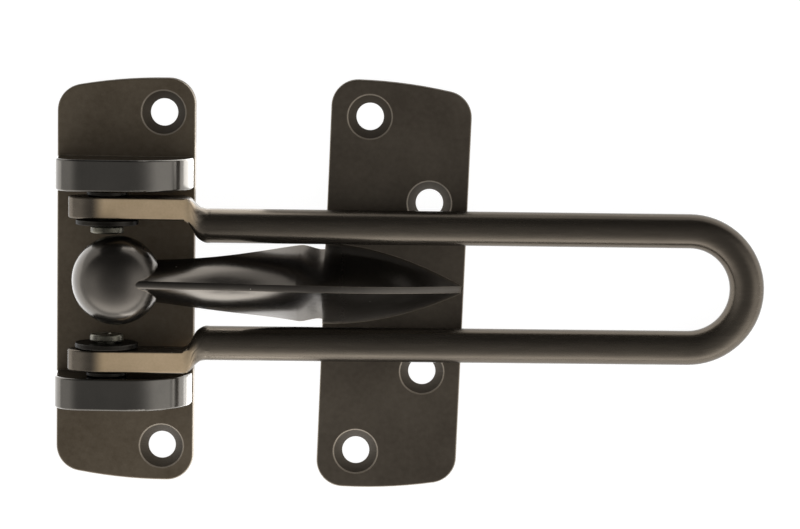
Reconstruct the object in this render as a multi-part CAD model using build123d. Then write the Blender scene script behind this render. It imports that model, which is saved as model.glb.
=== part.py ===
from build123d import *
import os
from math import asin, cos, degrees, radians, sin, sqrt, tan

# A swing-bar door guard in millimetres: a hinge bracket, the U-shaped bar that swings
# on it, and the ball catch that the bar closes over. Both plates lie on the plane z = 0,
# the bar runs along +X and the hinge axis along Y.

# Plates of the bracket and of the ball catch
bracket_height = 88.7
bracket_width = 30.2
catch_height = 89.8
catch_width = 30.7
plate_thickness = 2.5
plate_crown_radius = 106.0
plate_crown_inset = 6.6
plate_corner_radius = 5.8
plate_edge_round = 0.4

# Countersunk screw holes, with the insets measured from each plate's tall side
screw_hole_diameter = 6.0
screw_sink_diameter = 10.0
screw_sink_angle = 82.0
bracket_hole_inset = 7.0
bracket_hole_spacing = 73.6
catch_outer_hole_inset = 8.5
catch_outer_hole_spacing = 73.8
catch_inner_hole_inset = 22.3
catch_inner_hole_spacing = 37.2

# D-shaped lugs of the bracket
lug_height = 17.2
lug_thickness = 6.9
lug_gap = 40.4
lug_nose_radius = 14.0
lug_nose_setback = 0.3
lug_heel_radius = 6.5
lug_heel_lean = 4.4
lug_edge_round = 0.45

# Pivot pins and their washers
pivot_inset = 18.2
pivot_height = 11.2
pin_diameter = 4.0
pin_head_diameter = 7.2
pin_head_thickness = 1.6
pin_head_round = 0.4
pin_dimple_diameter = 2.4
pin_dimple_floor = 1.4
pin_dimple_depth = 0.5
pin_seat_depth = 5.0
pin_head_play = 0.3
washer_diameter = 13.6
washer_thickness = 1.1
washer_edge_round = 0.2
washer_play = 0.25
spacer_diameter = 8.8
running_clearance = 0.06
side_clearance = 0.15

# Swinging bar, measured along the bar from the pivot
rod_diameter = 7.5
slot_width = 18.1
bar_reach = 143.1
tongue_thickness = 4.8
tongue_depth = 9.6
tongue_gap = 28.4
tongue_tail = 8.4
tongue_tail_round = 6.5
tongue_corner_radius = 0.5
tongue_length = 16.4
shoulder_length = 2.0
shoulder_thickness = 6.0
shoulder_depth = 9.1
shoulder_corner_radius = 1.8
shoulder_inward_shift = 1.3
turn_length = 1.4
turn_share = 0.72
jog_length = 1.5
rod_settle_length = 1.1
rod_flat_half_angle = 20.0

# Ball catch: where its ball lies against the pivot and how far the catch is turned
ball_past_pivot = 2.6
ball_side_step = 1.2
catch_skew = 1.7

# Ball and the ridged arm that carries it, measured from the catch plate's tall side
ball_diameter = 19.3
ball_reach = 44.1
ball_height = 15.6
ridge_width = 1.45
ridge_neck_width = 1.7
ridge_crest_rise = 0.12
ridge_neck_crest_rise = 0.4
ridge_root_height = 15.8
ridge_root_slope = 0.2
ridge_neck_height = 24.3
neck_end_inset = 3.0
neck_half_width = 4.4
neck_underside = 14.0
neck_hollow = 0.62
arm_half_width = 9.3
arm_narrowing_power = 1.5
arm_root_share = 0.1
arm_tuck_length = 5.5
arm_belly = 0.7
rise_start = 2.0
rise_end = 27.0
leaf_half_width = 8.9
leaf_edge_width = 0.4
leaf_edge_height = 0.35
leaf_hollow = 0.44
deep_hollow_starts = 0.3
leaf_taper_power = 1.9
leaf_tip_margin = 0.6
leaf_tip_height = 0.25
leaf_tip_lip = 0.06
leaf_tip_flare = 0.1
leaf_sink = 0.3

pivot_x = bracket_width / 2 - pivot_inset
rod_radius = rod_diameter / 2
rod_offset = slot_width / 2 + rod_radius
bend_start = bar_reach - rod_radius - rod_offset
tongue_offset = tongue_gap / 2 + tongue_thickness / 2
rest_tilt = degrees(asin((pivot_height - rod_radius) / (bar_reach - rod_radius)))
catch_distance = pivot_x + ball_past_pivot + ball_reach * cos(radians(catch_skew))
catch_offset = ball_side_step - ball_reach * sin(radians(catch_skew))
leaf_length = catch_width - leaf_tip_margin
neck_length = ball_reach - neck_end_inset
rod_start = tongue_length + shoulder_length + turn_length + jog_length + rod_settle_length


def crown_drop(inset):
    """How far the curved end falls below its crest, at a distance in from the tall side."""
    return plate_crown_radius - sqrt(plate_crown_radius ** 2 - (inset - plate_crown_inset) ** 2)


def plate_blank(width, height):
    """One plate with its tall side on x = 0 and its back on z = 0, before any holes."""
    crest = height / 2
    tall = crest - crown_drop(0)
    short = crest - crown_drop(width)
    outline = make_face([
        ThreePointArc((0, tall), (plate_crown_inset, crest), (width, short)),
        Line((width, short), (width, -short)),
        ThreePointArc((width, -short), (plate_crown_inset, -crest), (0, -tall)),
        Line((0, -tall), (0, tall)),
    ])
    outline = fillet(outline.vertices(), plate_corner_radius)
    plate = extrude(outline, plate_thickness, dir=(0, 0, 1))
    front_edges = plate.faces().sort_by(Axis.Z)[-1].edges()
    return fillet(front_edges, plate_edge_round)


def screw_hole():
    """The space of one countersunk screw hole, centred on the origin."""
    sink_width = (screw_sink_diameter - screw_hole_diameter) / 2
    sink_depth = sink_width / tan(radians(screw_sink_angle / 2))
    shank = Cylinder(screw_hole_diameter / 2, 4 * plate_thickness)
    sink = Cone(screw_hole_diameter / 2, screw_sink_diameter / 2, sink_depth)
    return shank + Pos(0, 0, plate_thickness - sink_depth / 2) * sink


def drill_pair(plate, inset, spacing):
    """Cuts two screw holes, an equal distance above and below the plate's middle."""
    for side in (1, -1):
        plate -= Pos(inset, side * spacing / 2, 0) * screw_hole()
    return plate


def lug():
    """One D-shaped lug, rounded at the heel and in a large arc at the nose."""
    left = -bracket_width / 2
    right = bracket_width / 2 - lug_nose_setback
    heel_x = left + (lug_height - plate_thickness) * tan(radians(lug_heel_lean))
    nose_x = right - lug_nose_radius
    nose_z = lug_height - lug_nose_radius
    nose_reach = lug_nose_radius * sqrt(0.5)
    profile = make_face([
        Polyline((left, 0), (left, plate_thickness), (heel_x, lug_height), (nose_x, lug_height)),
        ThreePointArc(
            (nose_x, lug_height),
            (nose_x + nose_reach, nose_z + nose_reach),
            (right, nose_z),
        ),
        Polyline((right, nose_z), (right, 0), (left, 0)),
    ])
    heel = profile.vertices().sort_by_distance((heel_x, lug_height, 0))[0]
    profile = Plane.XZ * fillet(heel, lug_heel_radius)
    body = extrude(profile, lug_thickness, dir=(0, 1, 0))
    bottom = body.faces().sort_by(Axis.Z)[0].edges()
    side_faces = body.faces().sort_by(Axis.Y)
    rims = (side_faces[0].edges() + side_faces[-1].edges()) - bottom
    return Pos(0, lug_gap / 2, 0) * fillet(rims, lug_edge_round)


def along_pivot(shape, start):
    """Turns a shape that rises along Z to lie along +Y from a distance off the middle."""
    return Pos(pivot_x, start, pivot_height) * Rot(-90, 0, 0) * shape


def upright(radius, length):
    """A cylinder that stands on the origin."""
    return Cylinder(radius, length, align=(Align.CENTER, Align.CENTER, Align.MIN))


def bracket():
    """Hinge bracket: plate and two lugs in one casting, with a blind seat for each pin."""
    blank = plate_blank(bracket_width, bracket_height)
    plate = drill_pair(blank, bracket_hole_inset, bracket_hole_spacing)
    casting = Pos(bracket_width / 2, 0, 0) * Rot(0, 0, 180) * plate
    upper_lug = lug() - along_pivot(upright(pin_diameter / 2, pin_seat_depth), lug_gap / 2)
    return casting + upper_lug + mirror(upper_lug, Plane.XZ)


# Places along the pin, measured out from the middle of the bracket
washer_start = tongue_gap / 2 - washer_play - washer_thickness
head_end = washer_start - pin_head_play
head_start = head_end - pin_head_thickness
pin_end = lug_gap / 2 + pin_seat_depth
spacer_start = tongue_gap / 2 + tongue_thickness + side_clearance
spacer_thickness = lug_gap / 2 - side_clearance - spacer_start


def pivot_pin():
    """Headed pin that runs out through the bar's eye and into the lug's seat."""
    head = upright(pin_head_diameter / 2, pin_head_thickness)
    head = fillet(head.edges(), pin_head_round)
    dimple = Cone(pin_dimple_diameter / 2, pin_dimple_floor / 2, pin_dimple_depth)
    head -= Pos(0, 0, pin_dimple_depth / 2) * dimple
    shank = upright(pin_diameter / 2, pin_end - head_start - pin_head_thickness / 2)
    return along_pivot(head + Pos(0, 0, pin_head_thickness / 2) * shank, head_start)


def ring(diameter, thickness):
    """A flat washer that turns freely on the pin."""
    disc = fillet(upright(diameter / 2, thickness).edges(), washer_edge_round)
    return disc - Cylinder(pin_diameter / 2 + running_clearance, 3 * thickness)


def cross_plane(station):
    """The plane across the bar or the arm at one station, with its x sideways and its y up."""
    return Plane(origin=(station, 0, 0), x_dir=(0, 1, 0), z_dir=(1, 0, 0))


def rounded_section(along, offset, width, depth, corner):
    """A rounded rectangle across the bar, as four flats and four corner arcs."""
    section = Pos(offset, 0) * RectangleRounded(width, depth, corner)
    return cross_plane(along) * section


def rod_section(along):
    """The rod's circle, split into eight arcs that meet the rounded section's edges."""
    flat_angle = 2 * rod_flat_half_angle
    arcs = []
    for middle in (0, 90, 180, 270):
        start = middle - rod_flat_half_angle
        arcs.append(CenterArc((rod_offset, 0), rod_radius, start, flat_angle))
        arcs.append(CenterArc((rod_offset, 0), rod_radius, start + flat_angle, 90 - flat_angle))
    return cross_plane(along) * make_face(arcs)


def tongue():
    """Flattened end of the bar: a thick strap with an oval tail."""
    tail_centre = tongue_tail_round - tongue_tail
    half_depth = tongue_depth / 2
    profile = make_face([
        EllipticalCenterArc(
            (tail_centre, 0), tongue_tail_round, half_depth, start_angle=90, arc_size=180
        ),
        Polyline(
            (tail_centre, -half_depth),
            (tongue_length, -half_depth),
            (tongue_length, half_depth),
            (tail_centre, half_depth),
        ),
    ])
    strap = extrude(Plane.XZ * profile, tongue_thickness, dir=(0, 1, 0))
    end_rim = strap.faces().sort_by(Axis.X)[-1].edges()
    side_faces = strap.faces().sort_by(Axis.Y)
    rims = (side_faces[0].edges() + side_faces[-1].edges()) - end_rim
    return Pos(0, tongue_gap / 2, 0) * fillet(rims, tongue_corner_radius)


def jog():
    """The shoulder where the strap steps in towards the slot and turns round."""
    shoulder_at = tongue_length + shoulder_length
    turn_at = shoulder_at + turn_length
    full_shift = tongue_offset - rod_offset

    def towards_rod(at_shoulder, at_rod):
        """A size of the shoulder, part of the way to the rod's own."""
        return at_shoulder + turn_share * (at_rod - at_shoulder)

    sections = [
        rounded_section(
            tongue_length, tongue_offset, tongue_thickness, tongue_depth, tongue_corner_radius
        ),
        rounded_section(
            shoulder_at, tongue_offset - shoulder_inward_shift, shoulder_thickness,
            shoulder_depth, shoulder_corner_radius
        ),
        rounded_section(
            turn_at, tongue_offset - towards_rod(shoulder_inward_shift, full_shift),
            towards_rod(shoulder_thickness, rod_diameter),
            towards_rod(shoulder_depth, rod_diameter),
            towards_rod(shoulder_corner_radius, rod_radius)
        ),
        rod_section(turn_at + jog_length),
        rod_section(rod_start),
    ]
    return loft(sections)


def swing_bar():
    """The U-shaped bar in one piece, laid out at rest with its tip on the plane z = 0."""
    path = Line((rod_start, rod_offset, 0), (bend_start, rod_offset, 0))
    path += ThreePointArc(
        (bend_start, rod_offset, 0), (bend_start + rod_offset, 0, 0), (bend_start, -rod_offset, 0)
    )
    path += Line((bend_start, -rod_offset, 0), (rod_start, -rod_offset, 0))
    rod = sweep(cross_plane(rod_start) * Pos(rod_offset, 0) * Circle(rod_radius), path=path)
    eye = Rot(-90, 0, 0) * Cylinder(pin_diameter / 2 + running_clearance, 3 * tongue_gap)
    end = tongue() - eye + jog()
    bar = rod + end + mirror(end, Plane.XZ)
    return Pos(pivot_x, 0, pivot_height) * Rot(0, rest_tilt, 0) * bar


def ease(share):
    """Rises smoothly from 0 to 1 as a share goes from 0 to 1."""
    share = min(1, max(0, share))
    return share * share * (3 - 2 * share)


def ridge_height(station):
    """Height of the arm's ridge: one shallow curve to the neck, a steeper one to the leaf's tip."""
    if station > 0:
        end = leaf_length
        end_height = plate_thickness + leaf_tip_height
    else:
        end = -neck_length
        end_height = ridge_neck_height
    bow = (ridge_root_height - ridge_root_slope * end - end_height) / end ** 2
    return ridge_root_height - ridge_root_slope * station - bow * station ** 2


def flank(half_width, foot, ridge_half_width, ridge, hollow, cut=0):
    """The hollow side of the arm up to its ridge, less a share cut off at its foot."""
    across = hollow / (1 - cut + 2 * cut * hollow)
    up = (1 - hollow) / (1 - cut + 2 * cut * (1 - hollow))
    control = (
        ridge_half_width + across * (half_width - ridge_half_width),
        ridge - up * (ridge - foot),
    )
    return Bezier((half_width, foot), control, (ridge_half_width, ridge))


def arm_section(station, upper, lower, crest_rise):
    """Closes one section of the arm from its right-hand flank, its crest and its lower edges."""
    left = mirror(upper, Plane.YZ)
    crest = (0, (upper @ 1).Y + crest_rise)
    ridge = ThreePointArc(upper @ 1, crest, left @ 1)
    return cross_plane(station) * make_face([upper, ridge, left] + lower)


def leaf_flank(station):
    """The flank above the leaf-shaped foot, which ends just short of the leaf's outline."""
    share = 1 - (station / leaf_length) ** leaf_taper_power
    top = ridge_width / 2
    knee = top + share * (leaf_half_width - leaf_edge_width - top) + leaf_tip_flare
    knee_height = plate_thickness + share * leaf_edge_height + leaf_tip_lip
    return flank(knee, knee_height, top, ridge_height(station), leaf_hollow)


def leaf_section(station):
    """A section of the leaf-shaped foot, whose thin edge runs into the plate."""
    upper = leaf_flank(station)
    knee = upper @ 0
    share = 1 - (station / leaf_length) ** leaf_taper_power
    skirt = knee.X + share * leaf_edge_width + leaf_tip_flare
    base = plate_thickness - leaf_sink
    lower = [
        Line((-knee.X, knee.Y), (-skirt, base)),
        Line((-skirt, base), (skirt, base)),
        Line((skirt, base), (knee.X, knee.Y)),
    ]
    return arm_section(station, upper, lower, ridge_crest_rise)


def neck_section(station):
    """A section of the arm where it stands clear of the plate, with a slightly full belly."""
    share = -station / neck_length
    root = leaf_flank(0).position_at(arm_root_share, position_mode=PositionMode.PARAMETER)
    climb = ease((-station - rise_start) / (rise_end - rise_start))
    underside = root.Y + climb * (neck_underside - root.Y)
    widening = (1 - share) ** arm_narrowing_power
    tuck = (arm_half_width - root.X) * (1 - ease(-station / arm_tuck_length))
    half_width = neck_half_width + widening * (arm_half_width - neck_half_width) - tuck
    top = (ridge_width + share * (ridge_neck_width - ridge_width)) / 2
    ridge = ridge_height(station) - ridge_neck_crest_rise * share
    hollow = leaf_hollow + ease(share / deep_hollow_starts) * (neck_hollow - leaf_hollow)
    upper = flank(half_width, underside, top, ridge, hollow, arm_root_share)
    lowest = (0, underside - arm_belly)
    belly = ThreePointArc((-half_width, underside), lowest, (half_width, underside))
    crest_rise = ridge_crest_rise + share * (ridge_neck_crest_rise - ridge_crest_rise)
    return arm_section(station, upper, [belly], crest_rise)


def ball_catch():
    """Ball catch in one casting: plate, leaf-shaped foot, ridged arm and ball."""
    shares = (0, 0.2, 0.4, 0.6, 0.8, 1)
    free_length = neck_length - arm_tuck_length
    blank = plate_blank(catch_width, catch_height)
    plate = drill_pair(blank, catch_outer_hole_inset, catch_outer_hole_spacing)
    plate = drill_pair(plate, catch_inner_hole_inset, catch_inner_hole_spacing)
    leaf = loft([leaf_section(share * leaf_length) for share in shares])
    root = loft([neck_section(-share * arm_tuck_length) for share in shares])
    neck = loft([neck_section(-arm_tuck_length - share * free_length) for share in shares])
    ball = Pos(-ball_reach, 0, ball_height) * Sphere(ball_diameter / 2)
    casting = plate + leaf + root + neck + ball
    return Pos(catch_distance, catch_offset, 0) * Rot(0, 0, -catch_skew) * casting


washer = ring(washer_diameter, washer_thickness)
spacer = ring(spacer_diameter, spacer_thickness)
upper_side = {
    "pivot_pin": pivot_pin(),
    "pin_washer": along_pivot(washer, washer_start),
    "pin_spacer": along_pivot(spacer, spacer_start),
}
pieces = {"bracket": bracket(), "swing_bar": swing_bar(), "ball_catch": ball_catch()}
for name, piece in upper_side.items():
    pieces[name + "_upper"] = piece
    pieces[name + "_lower"] = mirror(piece, Plane.XZ)

os.makedirs("parts", exist_ok=True)
for name, piece in pieces.items():
    export_step(piece, f"parts/{name}.step")
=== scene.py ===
import math
import bpy
from mathutils import Matrix

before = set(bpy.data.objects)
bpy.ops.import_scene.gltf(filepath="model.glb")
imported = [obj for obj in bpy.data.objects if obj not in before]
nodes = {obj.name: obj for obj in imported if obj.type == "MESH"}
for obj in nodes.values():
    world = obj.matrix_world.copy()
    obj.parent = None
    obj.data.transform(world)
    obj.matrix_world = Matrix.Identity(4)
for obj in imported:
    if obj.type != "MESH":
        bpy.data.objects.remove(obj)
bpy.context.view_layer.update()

# Hinge bracket
# A plate and two D-shaped lugs, cast in one from bronze and darkened with oil. The plate
# keeps a satin, warm brown face, and the lugs are polished smooth before they are darkened.


def add_node(tree, kind, inputs=None, **settings):
    """Adds a shader node, sets its properties, and fills or links its inputs."""
    node = tree.nodes.new("ShaderNode" + kind)
    for name, value in settings.items():
        setattr(node, name, value)
    for key, value in (inputs or {}).items():
        if isinstance(value, bpy.types.NodeSocket):
            tree.links.new(value, node.inputs[key])
        else:
            node.inputs[key].default_value = value
    return node


def new_group(name, inputs, outputs):
    """Starts a node group with named inputs and outputs, and returns it with both ends."""
    tree = bpy.data.node_groups.new(name, "ShaderNodeTree")
    for label, kind, value in inputs:
        socket = tree.interface.new_socket(label, in_out="INPUT", socket_type="NodeSocket" + kind)
        socket.default_value = value
    for label, kind in outputs:
        tree.interface.new_socket(label, in_out="OUTPUT", socket_type="NodeSocket" + kind)
    start = tree.nodes.new("NodeGroupInput").outputs
    end = tree.nodes.new("NodeGroupOutput").inputs
    return tree, start, end


def use_group(tree, group, inputs):
    """Places a node group in a material with its own values, and returns its outputs."""
    return add_node(tree, "Group", inputs, node_tree=group).outputs


def math_node(tree, operation, first, second=0.0, clamp=False):
    """One step of arithmetic between two values or sockets."""
    node = add_node(tree, "Math", {0: first, 1: second}, operation=operation, use_clamp=clamp)
    return node.outputs[0]


def multiply(tree, first, second):
    """The product of two values or sockets."""
    return math_node(tree, "MULTIPLY", first, second)


def ramp(tree, value, start_at, end_at, first=0.0, last=1.0, kind="LINEAR"):
    """Goes from the first value to the last while its input passes between two places."""
    node = add_node(
        tree, "MapRange",
        {"Value": value, "From Min": start_at, "From Max": end_at, "To Min": first, "To Max": last},
        interpolation_type=kind,
    )
    return node.outputs[0]


def blend_value(tree, share, first, second):
    """Goes from one value to the other by a mask."""
    return ramp(tree, share, 0.0, 1.0, first, second)


def mix_color(tree, share, first, second):
    """Mixes two colours by a mask."""
    return add_node(tree, "Mix", {0: share, 6: first, 7: second}, data_type="RGBA").outputs[2]


def object_point(tree):
    """The point on the piece itself, so that a pattern moves with it."""
    return add_node(tree, "TexCoord").outputs["Object"]


def drawn_point(tree, stretch):
    """The point on the piece, squeezed so that a pattern is drawn out along one direction."""
    node = add_node(tree, "VectorMath", {0: object_point(tree), 1: stretch}, operation="MULTIPLY")
    return node.outputs[0]


def noise(tree, point, scale, detail, roughness=0.5):
    """A cloudy pattern from zero to one."""
    inputs = {"Vector": point, "Scale": scale, "Detail": detail, "Roughness": roughness}
    return add_node(tree, "TexNoise", inputs).outputs["Fac"]


def build_patina():
    """Cloudy shading and fine mottling where the oil darkened the metal unevenly."""
    tree, start, end = new_group(
        "cloudy patina",
        [
            ("Deep", "Color", (0, 0, 0, 1)), ("Light", "Color", (1, 1, 1, 1)),
            ("Scale", "Float", 60.0), ("Stretch", "Vector", (1, 1, 1)),
        ],
        [("Color", "Color"), ("Cloud", "Float")],
    )
    point = drawn_point(tree, start["Stretch"])
    broad = noise(tree, point, start["Scale"], 3.0, 0.55)
    mottling = noise(tree, point, multiply(tree, start["Scale"], 14.0), 2.0, 0.6)
    broad_share = 0.65
    fine_part = multiply(tree, mottling, 1 - broad_share)
    both = math_node(tree, "ADD", multiply(tree, broad, broad_share), fine_part)
    cloud = ramp(tree, both, 0.34, 0.66)
    tree.links.new(mix_color(tree, cloud, start["Deep"], start["Light"]), end["Color"])
    tree.links.new(cloud, end["Cloud"])
    return tree


def build_edge_wear_and_highlight():
    """Edges and rims where handling has rubbed the dark finish thin, in broken patches, which also
    carry a painted edge highlight.
    """
    tree, start, end = new_group(
        "edge wear and painted highlight",
        [("Reach", "Float", 0.0005), ("Strength", "Float", 6.0)],
        [("Mask", "Float")],
    )
    rounded = add_node(tree, "Bevel", {"Radius": start["Reach"]}, samples=6).outputs[0]
    surface = add_node(tree, "NewGeometry").outputs["Normal"]
    agree = add_node(tree, "VectorMath", {0: rounded, 1: surface}, operation="DOT_PRODUCT")
    turn = math_node(tree, "SUBTRACT", 1.0, agree.outputs["Value"])
    strong = math_node(tree, "MULTIPLY", turn, start["Strength"], clamp=True)
    patches = ramp(tree, noise(tree, object_point(tree), 420.0, 3.0), 0.3, 0.6, first=0.35)
    tree.links.new(multiply(tree, strong, patches), end["Mask"])
    return tree


def build_satin_grain():
    """Fine grain left by the abrasive belt, drawn out along one direction."""
    tree, start, end = new_group(
        "satin grain",
        [("Stretch", "Vector", (1, 1, 1)), ("Scale", "Float", 2500.0)],
        [("Height", "Float")],
    )
    lines = noise(tree, drawn_point(tree, start["Stretch"]), start["Scale"], 4.0, 0.65)
    tree.links.new(lines, end["Height"])
    return tree


def build_dust():
    """Sparse pale specks of dust, on a few of the pattern's cells."""
    tree, start, end = new_group("dust specks", [("Spacing", "Float", 260.0)], [("Mask", "Float")])
    cells = add_node(tree, "TexVoronoi", {"Vector": object_point(tree), "Scale": start["Spacing"]})
    near = ramp(tree, cells.outputs["Distance"], 0.05, 0.02)
    pick = add_node(tree, "SeparateColor", {0: cells.outputs["Color"]})
    rare = math_node(tree, "GREATER_THAN", pick.outputs[0], 0.86)
    tree.links.new(multiply(tree, near, rare), end["Mask"])
    return tree


patina = build_patina()
edge_wear_and_highlight = build_edge_wear_and_highlight()
satin_grain = build_satin_grain()
dust = build_dust()


def position_mask(tree, axis, start_at, end_at):
    """Zero up to one place along an axis of the piece and one from the other place on."""
    spot = add_node(tree, "SeparateXYZ", {0: object_point(tree)})
    return ramp(tree, spot.outputs[axis], start_at, end_at, kind="SMOOTHSTEP")


def facing(tree, axis):
    """How far the surface faces along an axis."""
    surface = add_node(tree, "NewGeometry").outputs["Normal"]
    return add_node(tree, "SeparateXYZ", {0: surface}).outputs[axis]


def countersink_shade_and_highlight_masks(tree):
    """One mask for the sloping sides of the screw holes, for painted shade, and one for their sharp
    rims, for a painted highlight.
    """
    upward = facing(tree, "Z")
    sloping = multiply(tree, ramp(tree, upward, 0.86, 0.78), ramp(tree, upward, 0.3, 0.5))
    sides = multiply(tree, sloping, position_mask(tree, "Z", 0.00247, 0.0023))
    rim_foot = position_mask(tree, "Z", 0.00212, 0.00224)
    rim_top = position_mask(tree, "Z", 0.0026, 0.0025)
    return sides, multiply(tree, sloping, multiply(tree, rim_foot, rim_top))


def new_material(name):
    """A new material, its node tree and the inputs of its shader."""
    material = bpy.data.materials.new(name)
    material.use_nodes = True
    tree = material.node_tree
    return material, tree, tree.nodes["Principled BSDF"].inputs


def coat_piece(name, material):
    """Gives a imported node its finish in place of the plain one."""
    slots = nodes[name].data.materials
    slots.clear()
    slots.append(material)


def add_grain(tree, shader, height, strength, depth):
    """Raises a pattern on the surface by a small depth."""
    bump = add_node(tree, "Bump", {"Height": height, "Strength": strength, "Distance": depth})
    tree.links.new(bump.outputs[0], shader["Normal"])


def cast_bronze(name, plate_tones, polish_tones, gloss, grain_stretch, cloud_scale):
    """Oil-darkened cast bronze: a satin brown plate below and a polished form above it."""
    material, tree, shader = new_material(name)
    plate_deep, plate_light = plate_tones
    polish_deep, polish_light = polish_tones
    plate = use_group(tree, patina, {"Deep": plate_deep, "Light": plate_light, "Scale": cloud_scale})
    polish = use_group(tree, patina, {"Deep": polish_deep, "Light": polish_light, "Scale": 150.0})
    polished = position_mask(tree, "Z", 0.0026, 0.0034)
    body = mix_color(tree, polished, plate["Color"], polish["Color"])

    # Painted shade: the countersinks' sloping sides are darkened in this brown.
    countersink_shade_brown = (0.045, 0.033, 0.019, 1)
    # The pale colour of rubbed edges and rims, partly real wear and partly a painted highlight.
    rubbed_and_highlight_bronze = (0.26, 0.22, 0.17, 1)
    dust_color = (0.4, 0.38, 0.34, 1)
    # The holes' rims get the pale rubbed colour as a painted highlight.
    sink_shade, rim_highlight = countersink_shade_and_highlight_masks(tree)
    # Rubbed edges take the pale colour, as wear and as a painted edge highlight.
    rubbed_and_highlit_edges = use_group(tree, edge_wear_and_highlight, {"Reach": 0.00028, "Strength": 7.0})["Mask"]
    wear_and_highlight = math_node(tree, "MAXIMUM", rubbed_and_highlit_edges, rim_highlight)
    specks = use_group(tree, dust, {"Spacing": 240.0})["Mask"]
    body_with_wear_and_highlight = mix_color(tree, wear_and_highlight, mix_color(tree, sink_shade, body, countersink_shade_brown), rubbed_and_highlight_bronze)
    tree.links.new(mix_color(tree, specks, body_with_wear_and_highlight, dust_color), shader["Base Color"])

    satin = blend_value(tree, plate["Cloud"], 0.46, 0.54)
    buffed = blend_value(tree, polish["Cloud"], gloss, gloss + 0.05)
    dull_foot = multiply(tree, position_mask(tree, "X", 0.044, 0.052), 0.14)
    smooth = math_node(tree, "ADD", buffed, dull_foot)
    finish = blend_value(tree, polished, satin, smooth)
    roughness = math_node(tree, "ADD", finish, multiply(tree, specks, 0.4), clamp=True)
    tree.links.new(roughness, shader["Roughness"])

    metal = blend_value(tree, polished, 0.5, 0.95)
    dusty_metal = math_node(tree, "SUBTRACT", metal, multiply(tree, specks, 0.5))
    tree.links.new(dusty_metal, shader["Metallic"])

    grain = use_group(tree, satin_grain, {"Stretch": grain_stretch})["Height"]
    height = multiply(tree, grain, blend_value(tree, polished, 1.0, 0.12))
    add_grain(tree, shader, height, 0.25, 0.00004)
    return material


bracket_bronze = cast_bronze(
    "bracket bronze",
    plate_tones=((0.088, 0.066, 0.041, 1), (0.136, 0.108, 0.074, 1)),
    polish_tones=((0.092, 0.086, 0.077, 1), (0.11, 0.102, 0.091, 1)),
    gloss=0.12,
    grain_stretch=(0.25, 1.0, 1.0),
    cloud_scale=70.0,
)
coat_piece("bracket", bracket_bronze)

# Ball catch
# A plate, a leaf-shaped foot, a ridged arm and a ball, cast in one from the same bronze and
# darkened in the same bath. The arm and ball are buffed smooth, and the foot is left duller.

catch_bronze = cast_bronze(
    "catch bronze",
    plate_tones=((0.058, 0.045, 0.031, 1), (0.089, 0.072, 0.052, 1)),
    polish_tones=((0.076, 0.068, 0.059, 1), (0.09, 0.081, 0.07, 1)),
    gloss=0.18,
    grain_stretch=(1.0, 0.25, 1.0),
    cloud_scale=64.0,
)
coat_piece("ball_catch", catch_bronze)

# Swing bar
# A round bronze rod bent into a U, with both ends forged flat for the hinge pins. It is
# drawn smooth and darkened, and the flats of its ends are ground back to the warm metal; their pale
# colour is partly a painted highlight.


def ground_end_and_highlight(tree):
    """The ground flats of the forged ends, fading out along the shoulder, whose pale colour is partly
    a painted highlight.
    """
    starts = position_mask(tree, "X", -0.0062, -0.0028)
    ends = position_mask(tree, "X", 0.0172, 0.0135)
    sideways = math_node(tree, "ABSOLUTE", facing(tree, "Y"))
    flats = ramp(tree, sideways, 0.6, 0.2)
    return multiply(tree, multiply(tree, starts, ends), flats)


bar_bronze, tree, shader = new_material("bar bronze")
drawn_tone = use_group(
    tree, patina,
    {
        "Deep": (0.074, 0.062, 0.049, 1), "Light": (0.106, 0.09, 0.071, 1),
        "Scale": 110.0, "Stretch": (0.1, 1.0, 1.0),
    },
)
# Pale warm tones for the ground flats, partly the bare metal and partly a painted highlight.
ground_and_highlight_tone = use_group(
    tree, patina,
    {"Deep": (0.56, 0.42, 0.26, 1), "Light": (0.67, 0.51, 0.33, 1), "Scale": 150.0},
)
ground_and_highlight = ground_end_and_highlight(tree)
body = mix_color(tree, ground_and_highlight, drawn_tone["Color"], ground_and_highlight_tone["Color"])
# The bar's edges take a paler colour from rubbed wear and from a painted edge highlight.
wear_and_highlight = use_group(tree, edge_wear_and_highlight, {"Reach": 0.00045, "Strength": 3.0})["Mask"]
body_with_wear_and_highlight = mix_color(tree, wear_and_highlight, body, (0.34, 0.29, 0.23, 1))
specks = use_group(tree, dust, {"Spacing": 250.0})["Mask"]
tree.links.new(mix_color(tree, specks, body_with_wear_and_highlight, (0.42, 0.4, 0.36, 1)), shader["Base Color"])
smooth = blend_value(tree, drawn_tone["Cloud"], 0.22, 0.3)
tree.links.new(blend_value(tree, ground_and_highlight, smooth, 0.42), shader["Roughness"])
tree.links.new(blend_value(tree, ground_and_highlight, 0.86, 0.6), shader["Metallic"])
shader["Specular Tint"].default_value = (0.55, 0.55, 0.55, 1)
draw_lines = use_group(tree, satin_grain, {"Stretch": (0.04, 1.0, 1.0)})["Height"]
add_grain(tree, shader, draw_lines, 0.05, 0.00003)
coat_piece("swing_bar", bar_bronze)

# Pivot pins
# Two headed steel pins, turned and blackened, pressed through the bar's ends into the
# lugs. The corners of their heads are worn bright, and partly painted with a highlight.


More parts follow.
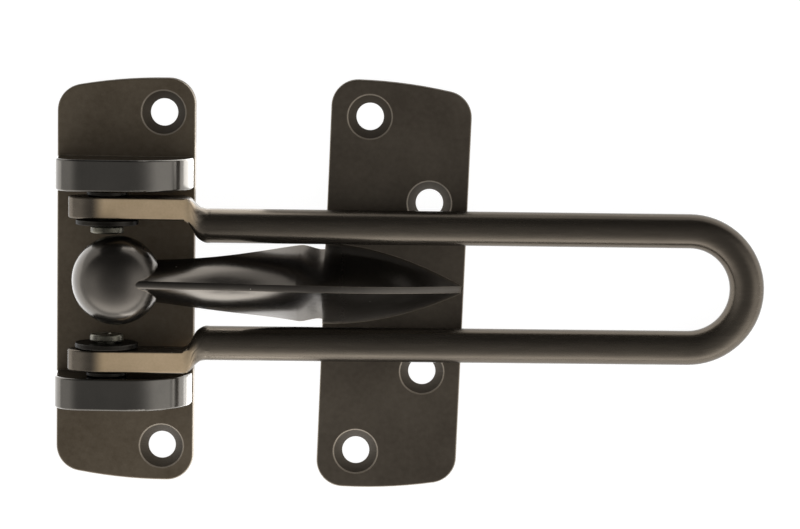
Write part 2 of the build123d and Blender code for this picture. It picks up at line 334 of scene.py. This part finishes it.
def blackened_steel(name, tones, mottling, rub_and_highlight, bright, roughness, edge_tint, turning, relief):
    """Turned and blackened steel, mottled, and rubbed bright at its edges, with a painted highlight
    there too.
    """
    material, tree, shader = new_material(name)
    deep, light = tones
    smoothest, dullest = roughness
    cloud = use_group(tree, patina, {"Deep": deep, "Light": light, "Scale": mottling})
    # The edges' bright colour is rubbed wear and partly a painted highlight.
    wear_and_highlight = use_group(tree, edge_wear_and_highlight, rub_and_highlight)["Mask"]
    tree.links.new(mix_color(tree, wear_and_highlight, cloud["Color"], bright), shader["Base Color"])
    tree.links.new(blend_value(tree, cloud["Cloud"], smoothest, dullest), shader["Roughness"])
    tree.links.new(blend_value(tree, wear_and_highlight, 0.7, 1.0), shader["Metallic"])
    shader["Specular Tint"].default_value = edge_tint
    grain = use_group(tree, satin_grain, {"Stretch": (1.0, 0.3, 1.0), "Scale": turning})["Height"]
    strength, depth = relief
    add_grain(tree, shader, grain, strength, depth)
    return material


pin_steel = blackened_steel(
    "pin steel",
    tones=((0.015, 0.013, 0.01, 1), (0.17, 0.16, 0.12, 1)),
    mottling=520.0,
    rub_and_highlight={"Reach": 0.0004, "Strength": 5.0},
    bright=(0.62, 0.58, 0.48, 1),
    roughness=(0.22, 0.42),
    edge_tint=(1, 1, 1, 1),
    turning=1800.0,
    relief=(0.5, 0.00008),
)
for side in ("upper", "lower"):
    coat_piece("pivot_pin_" + side, pin_steel)

# Washers and spacers
# Stamped steel washers behind the pins' heads, and small spacers that keep the bar's ends
# off the lugs. All are blackened, with rims rubbed bright and partly painted with a highlight.

washer_steel = blackened_steel(
    "washer steel",
    tones=((0.006, 0.005, 0.004, 1), (0.024, 0.021, 0.017, 1)),
    mottling=220.0,
    rub_and_highlight={"Reach": 0.00025, "Strength": 3.0},
    bright=(0.4, 0.38, 0.33, 1),
    roughness=(0.25, 0.4),
    edge_tint=(0.3, 0.3, 0.3, 1),
    turning=2200.0,
    relief=(0.3, 0.00005),
)
for side in ("upper", "lower"):
    coat_piece("pin_washer_" + side, washer_steel)
    coat_piece("pin_spacer_" + side, washer_steel)

# White table
# A plain white table under the guard. It stays white to the camera and in the metal's
# reflections, and keeps a soft shadow.


def add_sheet(name, corners, material):
    """A flat sheet between four corners, for the studio."""
    mesh = bpy.data.meshes.new(name)
    mesh.from_pydata(corners, [], [(0, 1, 2, 3)])
    mesh.materials.append(material)
    sheet = bpy.data.objects.new(name, mesh)
    bpy.context.scene.collection.objects.link(sheet)
    return sheet


def seen_directly(tree):
    """One where the eye, a reflection or glass looks at the background."""
    path = add_node(tree, "LightPath").outputs
    first = math_node(tree, "MAXIMUM", path["Is Camera Ray"], path["Is Glossy Ray"])
    return math_node(tree, "MAXIMUM", first, path["Is Transmission Ray"])


table_white = bpy.data.materials.new("table white")
table_white.use_nodes = True
tree = table_white.node_tree
tree.nodes.clear()
shadow_part = add_node(tree, "BsdfDiffuse", {"Color": (0.2, 0.2, 0.2, 1)})
white_part = add_node(tree, "Emission", {"Color": (1, 1, 1, 1), "Strength": 0.95})
shown = add_node(tree, "AddShader", {0: shadow_part.outputs[0], 1: white_part.outputs[0]})
plain = add_node(tree, "BsdfDiffuse", {"Color": (0.8, 0.8, 0.8, 1)})
both = add_node(tree, "MixShader", {0: seen_directly(tree), 1: plain.outputs[0], 2: shown.outputs[0]})
add_node(tree, "OutputMaterial", {0: both.outputs[0]})

table_half = 1.2
table_height = -0.0002
table_corners = [
    (-table_half, -table_half, table_height), (table_half, -table_half, table_height),
    (table_half, table_half, table_height), (-table_half, table_half, table_height),
]
table = add_sheet("table", table_corners, table_white)

# Studio
# A white tent stands round the table. It is brightest low in front, a little brighter on the
# right, falls off towards a dim top, as under a camera stand, and is shaded behind.


def tent_zone(tree, axis, start_at, end_at, first, last):
    """A smooth change of the tent's brightness along one axis of the direction."""
    return ramp(tree, axis, start_at, end_at, first, last, kind="SMOOTHSTEP")


world = bpy.data.worlds.new("studio")
bpy.context.scene.world = world
world.use_nodes = True
tree = world.node_tree
tree.nodes.clear()
way = add_node(tree, "SeparateXYZ", {0: add_node(tree, "TexCoord").outputs["Generated"]}).outputs
dim_top = tent_zone(tree, way["Z"], 0.5, 1.0, 1.12, 0.36)
shaded_back = tent_zone(tree, way["Y"], -0.2, 0.85, 1.0, 0.08)
bright_right = tent_zone(tree, way["X"], 0.3, 0.95, 1.0, 1.5)
front = tent_zone(tree, way["Y"], -0.3, -1.0, 0.0, 2.0)
low = tent_zone(tree, way["Z"], 0.65, 0.15, 0.0, 1.0)
around = multiply(tree, multiply(tree, dim_top, shaded_back), bright_right)
tent = math_node(tree, "ADD", around, multiply(tree, front, low))
backdrop = multiply(tree, seen_directly(tree), tent_zone(tree, way["Z"], 0.05, 0.02, 0.0, 1.0))
level = blend_value(tree, backdrop, tent, 1.0)
sky = add_node(tree, "Background", {"Color": (1, 1, 1, 1), "Strength": level})
add_node(tree, "OutputWorld", {0: sky.outputs[0]})

# Table light
# The table's top glows softly from below, most of all between the two plates, and lights
# the edges that face down.


def table_glow(name, left, right, front, back, radiance):
    """A flat lamp on the table's top that shines upward."""
    light = bpy.data.lights.new(name, "AREA")
    light.shape = "RECTANGLE"
    light.size = right - left
    light.size_y = back - front
    light.energy = radiance * light.size * light.size_y * math.pi
    lamp = bpy.data.objects.new(name, light)
    bpy.context.scene.collection.objects.link(lamp)
    lamp.location = ((left + right) / 2, (front + back) / 2, table_height / 2)
    lamp.rotation_euler = (math.pi, 0.0, 0.0)
    lamp.visible_camera = False


table_glow("table glow", -0.11, 0.23, -0.15, 0.03, 1.2)
table_glow("middle glow in front", 0.0155, 0.03, -0.06, -0.02, 4.0)
table_glow("middle glow behind", 0.0155, 0.03, 0.02, 0.06, 4.0)
table_glow("far glow in front", 0.0155, 0.04, -0.3, -0.06, 4.0)
table_glow("far glow behind", 0.0155, 0.04, 0.06, 0.3, 2.0)

# Dark card
# A small dark card stands behind the ball, just outside the picture, and shades its back.

card_black, _, shader = new_material("card black")
shader["Base Color"].default_value = (0.02, 0.02, 0.02, 1)
shader["Roughness"].default_value = 0.9
card_left, card_right, card_back, card_top = -0.045, 0.012, 0.075, 0.04
card_corners = [
    (card_left, card_back, 0.0), (card_right, card_back, 0.0),
    (card_right, card_back, card_top), (card_left, card_back, card_top),
]
card = add_sheet("dark card", card_corners, card_black)
card.visible_camera = False

# Camera
# It hangs over the guard and looks almost straight down, with a long lens.

camera_data = bpy.data.cameras.new("camera")
camera_data.sensor_width = 36.0
camera_data.lens = 135.0
camera_data.clip_end = 10.0
camera = bpy.data.objects.new("camera", camera_data)
bpy.context.scene.collection.objects.link(camera)
turn = (
    Matrix.Rotation(math.radians(-5.57), 3, "X")
    @ Matrix.Rotation(math.radians(1.02), 3, "Y")
    @ Matrix.Rotation(math.radians(0.95), 3, "Z")
)
camera.matrix_world = Matrix.Translation((0.0719112, 0.0680771, 0.6565641)) @ turn.to_4x4()
bpy.context.scene.camera = camera
bpy.context.scene.view_settings.view_transform = "Standard"
